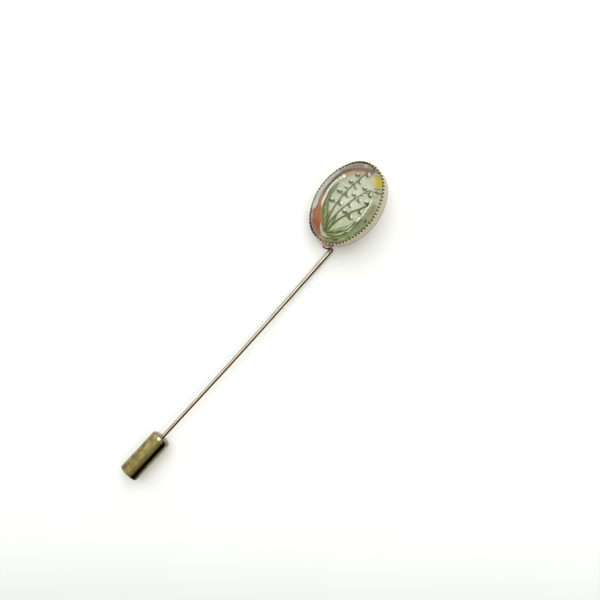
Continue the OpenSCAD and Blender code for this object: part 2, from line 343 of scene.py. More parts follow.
def settle(piece, matrix, smooth=30):
    """Leaves edit mode, turns the faces outwards and stores the piece's place in its mesh."""
    bpy.ops.mesh.select_all(action="SELECT")
    bpy.ops.mesh.remove_doubles(threshold=1e-5)
    bpy.ops.mesh.normals_make_consistent(inside=False)
    bpy.ops.object.mode_set(mode="OBJECT")
    choose(piece)
    bpy.ops.object.shade_smooth_by_angle(angle=math.radians(smooth))
    piece.matrix_world = matrix
    bpy.ops.object.transform_apply(location=True, rotation=True, scale=True)
    print(piece.name, len(piece.data.polygons), "faces, size", [round(v / MM, 2) for v in piece.dimensions], "mm")
    return piece


def join(pieces, name):
    """One piece made of several, with its place in its mesh."""
    choose(*pieces)
    bpy.ops.object.transform_apply(location=True, rotation=True, scale=True)
    bpy.ops.object.join()
    made = bpy.context.object
    made.name = made.data.name = name
    return made


def copies(pattern, matrices, name):
    """Copies of a modelled shape, each with its own mesh, joined to one piece."""
    made = []
    for matrix in matrices:
        one = pattern.copy()
        one.data = pattern.data.copy()
        bpy.context.scene.collection.objects.link(one)
        one.matrix_world = matrix
        made.append(one)
    bpy.data.objects.remove(pattern)
    return join(made, name)


def store(piece, name, value):
    """Stores a number at every vertex, which a material reads back by its name."""
    layer = piece.data.attributes.new(name, "FLOAT", "POINT")
    for vertex, item in zip(piece.data.vertices, layer.data):
        item.value = value(vertex)


print("a piece can be settled, joined and copied")

# %% [markdown]
# ## The oval
#
# The stone's outline is four arcs, as a template draws it: two wide ones for the sides and two tight ones for the
# ends. A single point is spun round each of the four centres in turn. A larger start makes a parallel outline, so the
# cup fits the stone all the way round.

# %% Draw an oval by spinning a point
SIDE_CENTRE, END_CENTRE = 5.0, 3.75
SIDE_RADIUS, END_RADIUS = 11.5, 5.25
SPLIT = math.atan2(3, 4)
HALF_WIDE, HALF_LONG = SIDE_RADIUS - SIDE_CENTRE, END_RADIUS + END_CENTRE
ARC_STEPS = 40


def oval(name, grow=0.0, z=0.0):
    """A flat oval face, grown outwards from the stone's outline, at height z."""
    piece = begin(name, "plane", size=0.1)
    bpy.ops.mesh.merge(type="COLLAPSE")
    lower_split = Vector((0.8, -0.6))
    start = lower_split * (SIDE_RADIUS + grow) - Vector((SIDE_CENTRE, 0))
    bpy.ops.transform.translate(value=(start.x, start.y, z))
    for centre, turn in (
        ((-SIDE_CENTRE, 0, z), 2 * SPLIT),
        ((0, END_CENTRE, z), math.pi - 2 * SPLIT),
        ((SIDE_CENTRE, 0, z), 2 * SPLIT),
        ((0, -END_CENTRE, z), math.pi - 2 * SPLIT),
    ):
        bpy.ops.mesh.spin(steps=ARC_STEPS, angle=turn, center=centre, axis=(0, 0, -1))
    bpy.ops.mesh.select_all(action="SELECT")
    bpy.ops.mesh.remove_doubles(threshold=1e-4)
    bpy.ops.mesh.select_all(action="SELECT")
    bpy.ops.mesh.edge_face_add()
    return piece


def oval_point(turn, grow=0.0):
    """Point of the outline where it faces the direction `turn`, in radians."""
    c, s = abs(math.cos(turn)), abs(math.sin(turn))
    if math.atan2(s, c) < SPLIT:
        x, y = (SIDE_RADIUS + grow) * c - SIDE_CENTRE, (SIDE_RADIUS + grow) * s
    else:
        x, y = (END_RADIUS + grow) * c, (END_RADIUS + grow) * s + END_CENTRE
    return Vector((math.copysign(x, math.cos(turn)), math.copysign(y, math.sin(turn)), 0))


print("the stone is", 2 * HALF_WIDE, "by", 2 * HALF_LONG, "mm, drawn by", 4 * ARC_STEPS, "edges")

# %% [markdown]
# ## The cup
#
# The real cup is pressed from thin sheet: a flat back and an upright wall with a soft bottom edge. Here the outer oval
# is raised by the wall's height, its top is inset by the wall's thickness, and the inset face is pushed down to the
# floor. Insetting keeps the wall equally thick all round, which scaling would not. Just below the rim the wall swells
# by about a tenth of a millimetre, where the milling tool has pushed the metal out.

# %% Cup
STONE_PLAY, WALL, WALL_HEIGHT, CUP_FLOOR = 0.03, 0.3, 3.3, 0.4
SWELL, SWELL_LOW, SWELL_HIGH = 1.0125, 3.0, 3.26
BACK_EDGE, RIM_EDGE = 0.35, 0.06

cup = oval("cup", grow=STONE_PLAY + WALL)
extrude(z=SWELL_LOW)
extrude()
widen(SWELL, SWELL, 1)
extrude(z=SWELL_HIGH - SWELL_LOW)
extrude()
widen(1 / SWELL, 1 / SWELL, 1)
extrude(z=WALL_HEIGHT - SWELL_HIGH)
bpy.ops.mesh.inset(thickness=WALL, use_boundary=True, use_even_offset=True)
extrude(z=CUP_FLOOR - WALL_HEIGHT)
pick(cup, "EDGE", lambda m, e: abs(m.z) < 1e-4 and len(e.link_faces) == 2)
bpy.ops.mesh.bevel(offset=BACK_EDGE, segments=6, profile=0.5)
pick(cup, "EDGE", lambda m, e: abs(m.z - WALL_HEIGHT) < 1e-4 and abs(e.verts[0].co.z - e.verts[1].co.z) < 1e-5
     and any(abs(f.normal.z) < 0.5 for f in e.link_faces))
bpy.ops.mesh.bevel(offset=RIM_EDGE, segments=2, profile=0.5)
settle(cup, ON_HEAD)

# %% How far out each point of the cup lies
TO_HEAD = ON_HEAD.inverted()


def outside_stone(vertex):
    """How far a vertex lies outside the stone's outline, in millimetres."""
    x, y = (abs(v) for v in (TO_HEAD @ vertex.co).xy)
    if math.atan2(y, x + SIDE_CENTRE) < SPLIT:
        return math.hypot(x + SIDE_CENTRE, y) - SIDE_RADIUS
    return math.hypot(x, y - END_CENTRE) - END_RADIUS


store(cup, "outside", outside_stone)
reach = max(item.value for item in cup.data.attributes["outside"].data)
print("the cup reaches", round(reach, 3), "mm past the stone")

# %% [markdown]
# ## The milled edge
#
# A knurling tool rolled along the cup's rim leaves a row of small round teeth that hold the stone. One tooth is a
# short cylinder with both ends rounded by bevels, and it is copied at equal steps along the oval. On the left, the
# side that the head rests on, the teeth are worn flat and nearly run together, so those copies are made wider.

# %% One tooth
TEETH_IN_QUARTER = 17
TOOTH_R, TOOTH_OUT = 0.22, 0.27
TOOTH_LOW, TOOTH_TOP = 2.95, 3.57
TOP_EDGE, LOW_EDGE = 0.15, 0.08

tooth = begin("tooth", "cylinder", vertices=16, radius=TOOTH_R, depth=TOOTH_TOP - TOOTH_LOW,
              location=(0, 0, (TOOTH_LOW + TOOTH_TOP) / 2))
pick(tooth, "EDGE", lambda m, e: abs(m.z - TOOTH_TOP) < 1e-4)
bpy.ops.mesh.bevel(offset=TOP_EDGE, segments=3, profile=0.5)
pick(tooth, "EDGE", lambda m, e: abs(m.z - TOOTH_LOW) < 1e-4)
bpy.ops.mesh.bevel(offset=LOW_EDGE, segments=2, profile=0.5)
settle(tooth, Matrix.Identity(4), smooth=50)

# %% Teeth along the oval
WORN_WIDER, WORN_SIDE = 1.6, -0.3

side_run = (SIDE_RADIUS + TOOTH_OUT) * SPLIT
end_run = (END_RADIUS + TOOTH_OUT) * (math.pi / 2 - SPLIT)
pitch = (side_run + end_run) / TEETH_IN_QUARTER
tooth_places = []
for i in range(TEETH_IN_QUARTER):
    run = (i + 0.5) * pitch
    turn = run / (SIDE_RADIUS + TOOTH_OUT) if run < side_run else SPLIT + (run - side_run) / (END_RADIUS + TOOTH_OUT)
    for facing in (turn, math.pi - turn, math.pi + turn, -turn):
        wider = WORN_WIDER if math.cos(facing) < WORN_SIDE else 1
        there = ON_HEAD @ Matrix.Translation(oval_point(facing, TOOTH_OUT)) @ Matrix.Rotation(facing, 4, "Z")
        tooth_places.append(there @ Matrix.Diagonal((1, wider, 1, 1)))
milled_edge = copies(tooth, tooth_places, "milled_edge")
store(milled_edge, "outside", outside_stone)
print("milled edge:", len(tooth_places), "teeth,", round(pitch, 3), "mm apart")

# %% [markdown]
# ## The wire
#
# The stem is one length of round wire, so it is made the way it is bent at the bench. A disc is the end of the wire.
# It is extruded along each straight part and spun round each bend's centre. Inside the clutch it is drawn a little
# thinner, and at last down to the point.

# %% The wire's route
WIRE_R = 0.4
FOOT_X, FOOT_START, FOOT_END, FOOT_Z = -0.15, 1.5, -8.1, 0.12 - WIRE_R
BOW_AT, BOW_HALF = -30, 10
POINT_LENGTH, IN_CLUTCH = 1.6, 8.6

head_in_bend = Matrix.LocRotScale(head_at - bend_at, HEAD_TURN, (1, 1, 1))
route = [
    head_in_bend @ Vector((FOOT_X, FOOT_START, FOOT_Z)),
    head_in_bend @ Vector((FOOT_X, FOOT_END, FOOT_Z)),
    Vector((-2.4, -1.4, 1.15)),
    Vector((-0.05, 0.15, WIRE_R - 0.035)),
    Vector((BEND_TO_CLUTCH, BOW_AT, CLUTCH_R)),
    Vector((BEND_TO_CLUTCH, -STEM_LENGTH - IN_CLUTCH + POINT_LENGTH, CLUTCH_R)),
]
legs = [(b - a).normalized() for a, b in zip(route, route[1:])]
bow_turn = legs[3].angle(legs[4])
bends = [1.6, 0.8, 0.45, BOW_HALF / math.tan(bow_turn / 2)]
print("the wire has", len(bends), "bends, with radii of", [round(r, 2) for r in bends], "mm")

# %% Wire
STRAIGHT_END = -52.8
TAPERED_R, TIP_R = 0.35, 0.05

wire = begin("wire", "circle", vertices=24, radius=WIRE_R, fill_type="NGON", location=route[0],
             rotation=legs[0].to_track_quat("Z", "Y").to_euler())
here = route[0]
for i, radius in enumerate(bends):
    turn = legs[i].angle(legs[i + 1])
    corner = route[i + 1]
    cut = radius * math.tan(turn / 2)
    inwards = (legs[i + 1] - legs[i]).normalized()
    centre = corner + inwards * radius / math.cos(turn / 2)
    extrude(*(corner - legs[i] * cut - here))
    bpy.ops.mesh.spin(steps=14 if turn > 0.5 else 8, angle=turn, center=centre, axis=legs[i + 1].cross(legs[i]))
    here = corner + legs[i + 1] * cut
    shape = bmesh.from_edit_mesh(wire.data)
    tip = [v.co for v in shape.verts if v.select]
    off = (sum(tip, Vector()) / len(tip) - here).length
    print("bend", i + 1, "of", round(math.degrees(turn)), "degrees ends", round(off, 4), "mm off its place")
extrude(y=STRAIGHT_END - here.y)
reached = STRAIGHT_END
for y, shrink in ((route[5].y, TAPERED_R / WIRE_R), (route[5].y - POINT_LENGTH, TIP_R / TAPERED_R)):
    extrude(y=y - reached)
    widen(shrink, 1, shrink, (BEND_TO_CLUTCH, y, CLUTCH_R))
    reached = y
settle(wire, IN_ROOM, smooth=40)
store(wire, "rightwards", lambda v: v.normal.x - v.normal.y)

# %% [markdown]
# ## The solder
#
# Where the wire meets the back of the cup, the solder has flowed into a low round pad. It is a disc with a wide soft
# bevel on its free side, and a little uneven, as metal that froze where it ran.

# %% Solder
SOLDER_R, SOLDER_LOW, SOLDER_HIGH = 1.3, -0.15, 0.2
SOLDER_EDGE, UNEVEN = 0.13, 0.02

solder = begin("solder", "cylinder", vertices=40, radius=SOLDER_R, depth=SOLDER_HIGH - SOLDER_LOW,
               location=(0, 0, (SOLDER_LOW + SOLDER_HIGH) / 2))
pick(solder, "EDGE", lambda m, e: abs(m.z - SOLDER_LOW) < 1e-4)
bpy.ops.mesh.bevel(offset=SOLDER_EDGE, segments=4, profile=0.5)
pick(solder, "VERT", lambda m, v: m.z < 0.1)
bpy.ops.transform.vertex_random(offset=UNEVEN, seed=4)
settle(solder, ON_HEAD, smooth=60)

# %% [markdown]
# ## The stone
#
# A cabochon is ground from a slab: a straight edge that the cup holds, and a dome above it. The oval is raised by the
# edge, and then again and again by small steps that shrink as they climb, which makes a round dome. The carving in its
# back is filled to the brim with paint, so the glass is left whole here and the painted pieces stand inside it: light
# then passes from glass to paint with no air between, as it does behind a painted stone.

# %% Stone
STONE_LOW, STONE_EDGE, DOME = 0.74, 2.7, 3.35
DOME_STEPS = 36

stone = oval("stone", z=STONE_LOW)
extrude(z=STONE_EDGE)
for k in range(1, DOME_STEPS):
    low, high = math.pi / 2 * (k - 1) / DOME_STEPS, math.pi / 2 * k / DOME_STEPS
    extrude(z=DOME * (math.sin(high) - math.sin(low)))
    shrink = math.cos(high) / math.cos(low)
    widen(shrink, shrink, 1)
bpy.ops.mesh.poke(offset=0)
pick(stone, "VERT", lambda m, v: m.xy.length < 1e-4 and m.z > STONE_LOW + STONE_EDGE)
bpy.ops.transform.translate(value=(0, 0, DOME * (1 - math.sin(math.pi / 2 * (DOME_STEPS - 1) / DOME_STEPS))))
settle(stone, ON_HEAD, smooth=35)

# %% [markdown]
# ## The plate behind the picture
#
# Behind the stone lies a thin pale plate, which gives the picture its silvery ground. It is the same oval, a little
# smaller, raised by its thickness. It reaches a hair into the glass, as paint that is stuck to it.

# %% Plate
PLATE_LOW, PLATE_THICK, PLATE_GROW, PLATE_EDGE = 0.42, 0.33, -0.02, 0.03
plate = oval("plate", grow=PLATE_GROW, z=PLATE_LOW)
extrude(z=PLATE_THICK)
pick(plate, "EDGE", lambda m, e: any(abs(f.normal.z) < 0.5 for f in e.link_faces)
     and any(abs(f.normal.z) > 0.5 for f in e.link_faces))
bpy.ops.mesh.bevel(offset=PLATE_EDGE, segments=2, profile=0.5)
settle(plate, ON_HEAD)

# %% [markdown]
# ## Stalks
#
# The spray is cut as shallow relief. A stalk is a point extruded along its line, turned into a curve so that it can be
# given a round section that thins towards its tip, and turned back into a mesh. A swept curve keeps its section even
# round every turn, which pulling a tube from point to point would not.


# %% A drawn line with a thickness
def through(points, steps=6):
    """A smooth line through the points, with some steps between each two."""
    ends = [2 * points[0] - points[1], *points, 2 * points[-1] - points[-2]]
    line = []
    for a, b, c, d in zip(ends, ends[1:], ends[2:], ends[3:]):
        for k in range(steps):
            t = k / steps
            line.append(0.5 * (2 * b + (c - a) * t + (2 * a - 5 * b + 4 * c - d) * t * t
                               + (3 * b - a - 3 * c + d) * t ** 3))
    return [*line, points[-1]]


def drawn(name, points, thickness, section=None):
    """A piece that follows the points. thickness gives its half width at each share of its length."""
    line = through([Vector(p) for p in points])
    piece = begin(name, "plane", size=0.01)
    bpy.ops.mesh.merge(type="COLLAPSE")
    bpy.ops.transform.translate(value=line[0])
    for a, b in zip(line, line[1:]):
        extrude(*(b - a))
    bpy.ops.object.mode_set(mode="OBJECT")
    choose(piece)
    bpy.ops.object.convert(target="CURVE")
    curve = bpy.context.object.data
    curve.dimensions = "3D"
    curve.twist_mode = "Z_UP"
    curve.use_fill_caps = True
    if section:
        curve.bevel_mode = "OBJECT"
        curve.bevel_object = section
    else:
        curve.bevel_depth = 1
        curve.bevel_resolution = 2
    spline = curve.splines[0]
    for i, point in enumerate(spline.points):
        point.radius = thickness(i / (len(spline.points) - 1))
    bpy.ops.object.convert(target="MESH")
    bpy.ops.object.mode_set(mode="EDIT")
    return bpy.context.object


def tapered(root, tip):
    """A half width that runs evenly from the root to the tip."""
    return lambda t: root + (tip - root) * t


print("lines can be drawn with a thickness")

# %% Stalks
STALK_Z = STONE_LOW + 0.09
stalk_lines = [
    [(-0.8, -6.6), (-1.4, -4.3), (-1.7, -2.5), (-1.82, -1.2), (-1.83, 0.1), (-1.75, 1.5), (-1.5, 3.2), (-1.05, 5.8)],
    [(-0.6, -6.6), (-0.85, -4.8), (-0.7, -3.2), (-0.6, -2.0), (-0.3, -0.7), (0.15, 1.1), (0.7, 2.7), (1.4, 4.5)],
    [(-0.4, -6.6), (-0.1, -4.9), (0.1, -3.6), (0.65, -2.2), (1.15, -0.95), (1.95, 0.4), (2.7, 1.9)],
    [(-0.4, -6.4), (-0.3, -4.8), (-0.42, -3.7), (-0.55, -2.9)],
]
stalks = []
for i, line in enumerate(stalk_lines):
    stalk = drawn(f"stalk_{i + 1}", [(x, y, STALK_Z) for x, y in line], tapered(0.145, 0.11))
    stalks.append(settle(stalk, ON_HEAD, smooth=60))

# %% [markdown]
# ## Leaves
#
# A leaf is made as a stalk is, but with a flat section that has a rib along its middle, and it is widest a third of
# the way up. Three broad leaves and a narrow one stand round the stalks.

# %% Leaves
bpy.ops.curve.primitive_bezier_circle_add(radius=1)
leaf_section = bpy.context.object
leaf_section.data.splines[0].resolution_u = 5
for point, (x, y) in zip(leaf_section.data.splines[0].bezier_points, ((-1, 0), (0, 0.22), (1, 0), (0, -0.1))):
    point.handle_left_type = point.handle_right_type = "AUTO"
    point.co = (x, y, 0)
leaf_lines = [
    (0.42, [(-0.75, -6.7), (-1.35, -5.5), (-2.05, -4.4), (-2.75, -3.2),
            (-3.35, -1.9), (-3.75, -0.6), (-3.88, 0.7), (-3.7, 2.2)]),
    (0.17, [(-0.7, -6.4), (-1.1, -5.6), (-1.6, -4.6), (-1.95, -3.6), (-2.0, -2.9)]),
    (0.3, [(-0.35, -6.5), (0.6, -5.7), (1.3, -4.8), (1.95, -3.75), (2.45, -2.7), (2.75, -1.5)]),
    (0.36, [(-0.2, -6.75), (1.2, -6.1), (2.3, -4.95), (3.0, -3.8), (3.32, -2.6), (3.48, -1.5), (3.55, -0.2)]),
]
leaves = []
for i, (wide, line) in enumerate(leaf_lines):
    leaf = drawn(f"leaf_{i + 1}", [(x, y, STALK_Z + 0.02) for x, y in line],
                 lambda t: 0.04 + wide * math.sin(math.pi * t ** 0.7) ** 0.8 * (1 - 0.25 * t), leaf_section)
    leaves.append(settle(leaf, ON_HEAD, smooth=60))
bpy.data.objects.remove(leaf_section)

# %% [markdown]
# ## Lines along the leaves
#
# The painter drew each leaf's edge with a dark line, and a few pale strokes on the leaves are painted highlights. Both
# are thin relief of their own, drawn as the stalks are and a little higher. The dark ones get the stalks' green, so
# they are joined to them.

# %% Lines along the leaves
OUTLINE_Z = STALK_Z + 0.1
dark_outlines = [
    [(-0.9, -6.5), (-1.4, -5.9), (-2.1, -4.9), (-2.85, -3.75), (-3.5, -2.5),
     (-3.85, -1.5), (-4.1, -0.4), (-4.1, 0.7), (-3.8, 2.0)],
    [(-0.6, -6.1), (-1.3, -4.9), (-1.85, -4.2), (-2.1, -3.7), (-2.5, -3.0),
     (-3.05, -2.3), (-3.45, -1.1), (-3.6, 0.1), (-3.7, 1.6)],
    [(-0.2, -6.5), (1.3, -5.2), (2.05, -4.2), (2.45, -3.4), (2.8, -1.9)],
    [(0.2, -6.65), (1.3, -6.05), (2.15, -4.95), (2.7, -3.8), (3.0, -2.7), (3.1, -1.6), (3.3, -0.6)],
]
# pale strokes painted as highlights on the leaves
highlight_strokes = [
    [(1.75, -4.5), (2.1, -4.0), (2.4, -3.4), (2.56, -2.7), (2.63, -2.2)],
    [(2.5, -4.3), (2.66, -3.95), (2.8, -3.3), (2.85, -2.7)],
    [(1.0, -6.2), (1.5, -5.7), (1.98, -5.0), (2.25, -4.5)],
    [(-0.7, -7.1), (0.1, -7.0), (0.7, -6.75)],
]
for i, line in enumerate(dark_outlines):
    stroke = drawn(f"outline_{i + 1}", [(x, y, OUTLINE_Z) for x, y in line], tapered(0.09, 0.055))
    stalks.append(settle(stroke, ON_HEAD, smooth=60))
strokes = []
for i, line in enumerate(highlight_strokes):
    stroke = drawn(f"light_stroke_{i + 1}", [(x, y, OUTLINE_Z + 0.03) for x, y in line],
                   lambda t: 0.02 + 0.06 * math.sin(math.pi * t))
    strokes.append(settle(stroke, ON_HEAD, smooth=60))

# %% [markdown]
# ## Bells
#
# Each flower is a tiny bell with a turned-out, scalloped mouth. A ring is extruded from the stem end, swells and draws
# in again. The mouth is folded back inside, and every second point of its edge is pulled outwards. How near a point
# lies to the stem end is stored on it, so that painted shade can run from green at the stem end to cream at the
# mouth. A cap with five points sits on the stem end. The two are copied to each place, flattened to fit the carving,
# and turned away from the stalk that carries them.

# %% A bell
def odd_one(point, sides):
    """True for every second corner of a ring."""
    return round(math.atan2(point.y, point.x) / math.tau * sides) % 2 == 1


BELL_RINGS = ((0.03, 0.14), (0.09, 0.235), (0.2, 0.285), (0.32, 0.27), (0.42, 0.25), (0.5, 0.27))
BELL_SIDES, STEM_END_R = 12, 0.05

bell = begin("bell", "circle", vertices=BELL_SIDES, radius=STEM_END_R, fill_type="NGON", location=(0, 0, 0))
for z, r in BELL_RINGS:
    shape = bmesh.from_edit_mesh(bell.data)
    corner = next(v.co for v in shape.verts if v.select)
    now_r, now_z = corner.xy.length, corner.z
    extrude(z=z - now_z)
    widen(r / now_r, r / now_r, 1)
for up, wider in ((0.05, 1.16), (0, 0.82), (-0.3, 0.8)):  # the mouth turns out, folds over and runs back inside
    extrude(z=up)
    widen(wider, wider, 1)
pick(bell, "VERT", lambda m, v: m.z > 0.54 and m.xy.length > 0.29 and odd_one(m, BELL_SIDES))
widen(1.15, 1.15, 0.93)
settle(bell, Matrix.Identity(4), smooth=80)
store(bell, "shade", lambda v: 1 - min(1, v.co.z / 0.5))

# %% A cap
CAP_SIDES, CAP_THICK = 10, 0.03

cap = begin("cap", "circle", vertices=CAP_SIDES, radius=STEM_END_R, fill_type="NGON", location=(0, 0, -0.05))
for up, r0, r1 in ((0.04, STEM_END_R, 0.24), (0.1, 0.24, 0.34), (0.14, 0.34, 0.37)):
    extrude(z=up)
    widen(r1 / r0, r1 / r0, 1)
# five points reach along the bell, and the notches between them draw back
pick(cap, "VERT", lambda m, v: m.z > 0.22 and odd_one(m, CAP_SIDES))
bpy.ops.transform.translate(value=(0, 0, 0.16))
pick(cap, "VERT", lambda m, v: 0.22 < m.z < 0.24)
bpy.ops.transform.translate(value=(0, 0, -0.06))
bpy.ops.object.mode_set(mode="OBJECT")
leafy = cap.modifiers.new("thickness", "SOLIDIFY")
leafy.thickness = CAP_THICK
leafy.offset = 1
bpy.ops.object.modifier_apply(modifier=leafy.name)
bpy.ops.object.mode_set(mode="EDIT")
settle(cap, Matrix.Identity(4), smooth=50)

# %% Bells on their stalks
BELL_Z, BELL_FLAT, MOST_LEAN = 0.93, 0.6, 0.7
bell_places = [
    (-2.9, -1.1, 1.45), (-2.8, 1.1, 1.45), (-2.3, 2.3, 0.70), (-2.2, 3.7, 1.14), (-2.0, 5.4, 1.19), (-0.5, 6.5, 1.23),
    (-0.7, 4.6, 0.97), (-0.8, 3.4, 1.06), (-1.1, 1.3, 1.19), (-0.3, 2.1, 0.97), (0.5, 4.2, 1.14), (2.0, 3.8, 1.23),
    (2.4, 4.9, 0.53), (1.0, 3.0, 0.70), (1.2, 1.8, 1.10), (-1.2, -0.7, 1.36), (0.2, -1.4, 1.23), (0.5, 0.0, 1.06),
    (1.7, -1.6, 1.32), (2.5, 0.3, 1.23), (2.3, 2.3, 1.06),
]
smooth_stalks = [through([Vector(p) for p in line], 8) for line in stalk_lines[:3]]
bell_matrices = []
for i, (x, y, size) in enumerate(bell_places):
    at = Vector((x, y))
    root = min((p for line in smooth_stalks for p in line if p.y < at.y - 0.2), key=lambda p: (p - at).length)
    away = (at - root).normalized()
    heading = math.pi / 2 + max(-MOST_LEAN, min(MOST_LEAN, math.atan2(away.y, away.x) - math.pi / 2))
    facing = Vector((math.cos(heading), math.sin(heading)))
    drop = at - facing * 0.3 * size
    lift = Vector((-away.y, away.x)) * 0.12 * (1 if i % 2 else -1)
    points = [(*root, STALK_Z), (*((root + drop) / 2 + lift), STALK_Z), (*drop, STALK_Z)]
    stem = drawn(f"bell_stalk_{i + 1}", points, tapered(0.06, 0.045))
    stalks.append(settle(stem, ON_HEAD, smooth=60))
    lay = Matrix.Translation((*drop, BELL_Z)) @ Matrix.Rotation(heading - math.pi / 2, 4, "Z")
    flatten = Matrix.Diagonal((size, size, BELL_FLAT, 1)) @ Matrix.Rotation(-math.pi / 2, 4, "X")
    bell_matrices.append(ON_HEAD @ lay @ flatten)
bells = copies(bell, bell_matrices, "bells")
caps = copies(cap, bell_matrices, "caps")
stalk_work = join(stalks, "stalks")
stroke_work = join(strokes, "highlight_strokes")
print("spray:", len(bell_places), "bells")

# %% [markdown]
# ## The clutch
#
# The clutch is a small turned barrel. A ring begins at its mouth and is extruded along the axis with a new width at
# each step: over the rounded shoulder, down the straight side, round the cut end and back over the inside.

# %% Barrel
SHOULDER, END_BEVEL, MOUTH_R, BORE_R = 0.8, 0.12, 0.5, 1.85
rings = [(MOUTH_R, 0.3), (MOUTH_R, 0.06), (MOUTH_R + 0.06, 0)]
rings += [(CLUTCH_R - SHOULDER + SHOULDER * math.sin(a), SHOULDER - SHOULDER * math.cos(a))
          for a in [math.pi / 2 * k / 12 for k in range(13)]]
rings += [(CLUTCH_R, CLUTCH_LENGTH - END_BEVEL), (CLUTCH_R - END_BEVEL, CLUTCH_LENGTH)]
rings += [(CLUTCH_R - 0.5, CLUTCH_LENGTH), (CLUTCH_R - 0.56, CLUTCH_LENGTH - 0.05), (0.02, CLUTCH_LENGTH - 0.05)]

barrel = begin("barrel", "circle", vertices=72, radius=rings[0][0], fill_type="NOTHING", location=(0, 0, -rings[0][1]))
for (r0, d0), (r1, d1) in zip(rings, rings[1:]):
    extrude(z=d0 - d1)
    widen(r1 / r0, r1 / r0, 1)
bpy.ops.mesh.merge(type="CENTER")
pick(barrel, "EDGE", lambda m, e: len(e.link_faces) == 1)
extrude()
widen(BORE_R / MOUTH_R, BORE_R / MOUTH_R, 1)
extrude(z=0.6 - CLUTCH_LENGTH)
bpy.ops.mesh.edge_face_add()
on_stem = Matrix.Translation((BEND_TO_CLUTCH, -STEM_LENGTH, CLUTCH_R)) @ Matrix.Rotation(-math.pi / 2, 4, "X")
settle(barrel, IN_ROOM @ on_stem, smooth=25)
store(barrel, "rightwards", lambda v: v.normal.x)

# %% [markdown]
# ## Metal
#
# The gilding is old: pale where it is worn and brown where it is stained. A brown line of painted shade runs low on
# the cup's wall, and the rim and teeth on the left are painted dark brown as a dark reflection. Inside, the cup is
# near white, a bright reflector that throws light on the edge of the picture. Each metal is a base colour broken by
# cloudy mottle, which also makes the surface a little rougher where it is stained, and a faint bump keeps the
# reflections from being perfectly clean. What belongs to one place is laid on by a number stored on the piece, or by
# millimetres in the head's own frame, so it stays there from every side.

# %% Gilding on the cup and the solder
# OLIVE is the stain on the rim and teeth; the brown is a painted dark reflection on the left of the rim
LEFT_RIM_REFLECTION_BROWN, OLIVE = linear(92, 72, 42), linear(143, 138, 88)


def on_head(place):
    """The place in the head's own frame, in millimetres."""
    sockets = {"Vector": place, "Location": head_at * MM, "Rotation": HEAD_TURN, "Scale": (MM, MM, MM)}
    return place.node("ShaderNodeMapping", {"vector_type": "TEXTURE"}, sockets)


def left_half(place):
    """1 on the left of the head, 0 on its right."""
    return 1 - on_head(place).part("X").rise(-2.5, 0.3)


def gilding(place):
    """Worn gilding, with painted shade as a brown line low on the wall, a stained rim painted dark brown on the left
    as a dark reflection, and a near-white inside that throws light on the picture's edge.
    """
    stain = place.mottle(0.0035, 4, 0.6).rise(0.5, 0.72)
    fine = place.mottle(0.0004, 2)
    left = left_half(place)
    height = on_head(place).part("Z")
    outside = place.mark("outside")
    worn = stain.blend(linear(176, 168, 146), linear(158, 146, 118))
    # painted shade: a brown line low on the wall, where its foot would mirror the shadow under the head
    low_wall_shade = (height.band(0.15, 0.75, 0.15) * 0.8).blend(worn, linear(136, 116, 88))
    at_rim = (outside - 0.3 * left).rise(0.26, 0.16) * height.rise(3.1, 3.2)
    # the rim is stained olive, and on the left it is painted dark brown as a dark reflection in the lip
    rimmed = at_rim.blend(low_wall_shade, left.blend(OLIVE, LEFT_RIM_REFLECTION_BROWN))
    # near white inside the cup: a bright reflector that throws light on the edge of the picture
    inside = outside.rise(0.15, 0.05) * height.band(0.35, 3.15, 0.05)
    return {
        "Base Color": inside.blend(rimmed, linear(250, 248, 240)),
        "Roughness": 0.18 + 0.16 * stain + 0.06 * fine,
        "Normal": fine.bump(0.000004, 0.5),
    }


gilt = finish("gilt_brass", gilding, Metallic=1.0)
print("gilding is ready")


# %% Stained teeth
def tooth_metal(place):
    """Dark stained teeth, olive on the side that looks at the stone, and painted dark brown on the left as a dark
    reflection.
    """
    stain = place.mottle(0.0006, 3, 0.6).rise(0.3, 0.7)
    outer = stain.blend(linear(112, 96, 38), linear(82, 66, 18))
    right = place.mark("outside").rise(0.3, 0.14).blend(outer, OLIVE)
    return {
        # painted dark reflection: the teeth on the left are dark brown
        "Base Color": left_half(place).blend(right, linear(84, 64, 34)),
        "Roughness": 0.28 + 0.25 * stain,
        "Normal": place.mottle(0.0003, 2).bump(0.00001, 0.6),
    }


teeth_brass = finish("stained_tooth_brass", tooth_metal, Metallic=1.0)
print("tooth metal is ready")

# %% [markdown]
# ## Drawn wire and the clutch's brass
#
# The wire was pulled through a die, so its fine marks run along it: the mottle is stretched that way. A pale line
# along its top is a painted highlight, the side that faces right is painted brown as a dark reflection, and the loop
# where it leaves the cup is duller. The clutch has the deepest stains, cloudy olive with green and dark specks. The
# bands along its side, darker on the left, pale on top and a black stripe on the right, are painted reflections. Both
# carry the number `rightwards`, which says how far a point faces to the right of the stem, seen with the clutch
# nearest. On the wire, facing towards the clutch counts too, because of the loop.


